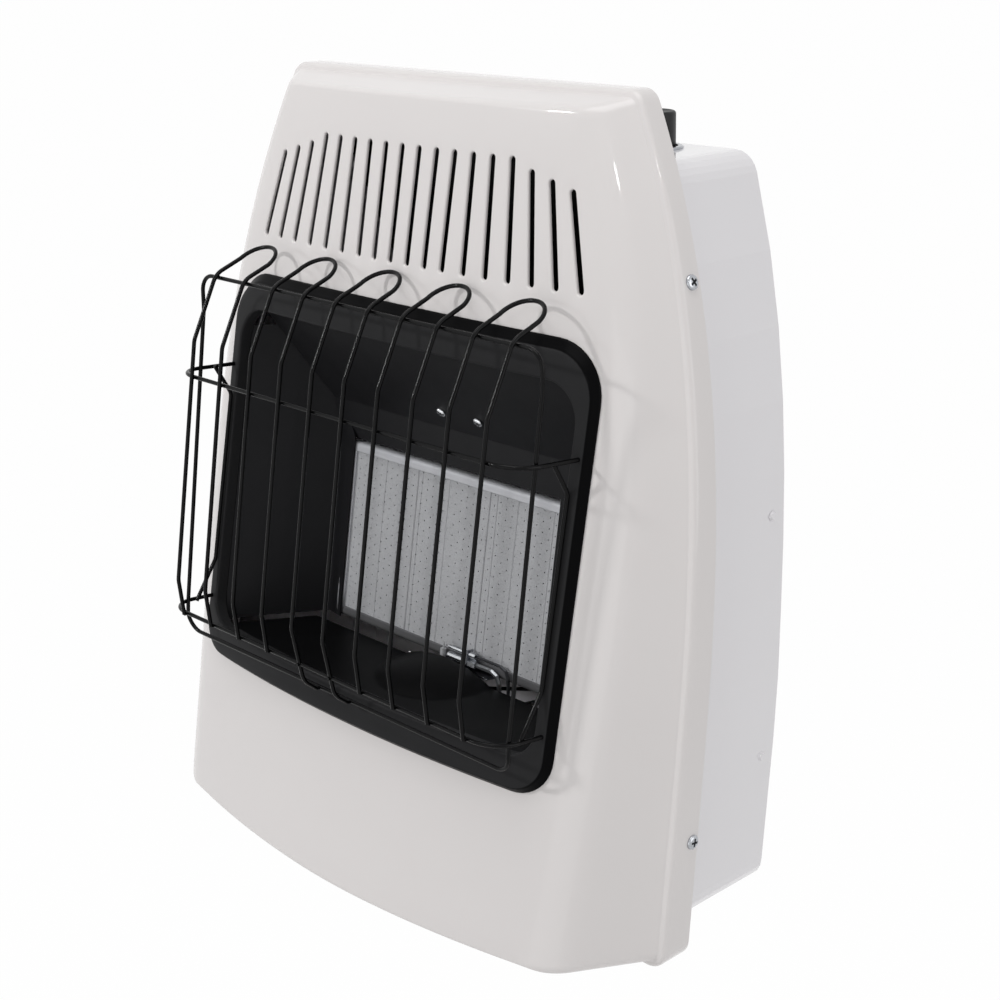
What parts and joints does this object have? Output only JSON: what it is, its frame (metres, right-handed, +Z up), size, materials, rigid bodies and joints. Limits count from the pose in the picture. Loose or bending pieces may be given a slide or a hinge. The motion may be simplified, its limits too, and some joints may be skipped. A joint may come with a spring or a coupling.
{
  "type": "wall mounted gas heater",
  "caption": "Wall mounted radiant gas heater with a leaning white enamelled front, louvres fanned above a black firebox of ceramic plaques, and a welded wire guard.",
  "frame": {"origin": "middle of the rear face that lies on the wall", "axes": "+Z up, -Y out of the wall into the room, +X to the right seen from the room"},
  "size_m": [0.4812, 0.2306, 0.5535],
  "materials": {
    "enamel": "gloss",
    "case_paint": "satin",
    "black_enamel": "satin gloss",
    "knob_black": "satin",
    "zinc_steel": "zinc plated",
    "bright_steel": "bright",
    "aluminised": "satin",
    "brass": "machined",
    "tube_steel": "drawn",
    "ceramic": "fired ceramic, matt",
    "lead_black": "matt"
  },
  "bodies": {
    "heater": {"front_panel": "enamel", "panel_screws": "zinc_steel", "window_bezel": "black_enamel", "wire_guard": "black_enamel", "left_cheek": "black_enamel", "right_cheek": "black_enamel", "heat_hood": "black_enamel", "hood_screws": "zinc_steel", "firebox_floor": "black_enamel", "top_baffle": "black_enamel", "heat_shield": "aluminised", "burner_frame": "aluminised", "plaque_left": "ceramic", "plaque_centre": "ceramic", "plaque_right": "ceramic", "burner_plenum": "aluminised", "mixer_tube": "aluminised", "injector": "brass", "injector_bracket": "zinc_steel", "burner_pipe": "tube_steel", "pilot_bracket": "zinc_steel", "pilot_burner": "bright_steel", "pilot_tube": "tube_steel", "spark_electrode": "ceramic", "ignition_lead": "lead_black", "thermocouple": "bright_steel", "thermocouple_lead": "brass", "gas_valve": "brass", "valve_bracket": "zinc_steel", "knob_ring": "zinc_steel", "regulator": "aluminised", "inlet_pipe": "tube_steel", "inlet_fitting": "brass", "rear_case": "case_paint", "back_plate": "case_paint", "chassis_frame": "case_paint", "case_screws": "zinc_steel", "burner_brackets": "zinc_steel"},
    "plug": {"valve_plug": "zinc_steel"},
    "knob": {"control_knob": "knob_black"}
  },
  "joints": [
    {"name": "knob_turn", "type": "hinge", "parent": "heater", "child": "plug", "pos_m": [0.116, -0.03, 0.21], "axis": [0, 0, 1], "range_deg": [0, 180]},
    {"name": "knob_press", "type": "slide", "parent": "plug", "child": "knob", "axis": [0, 0, 1], "range_m": [-0.005, 0], "stiffness_N_per_m": 600, "springref_m": 0.004}
  ]
}
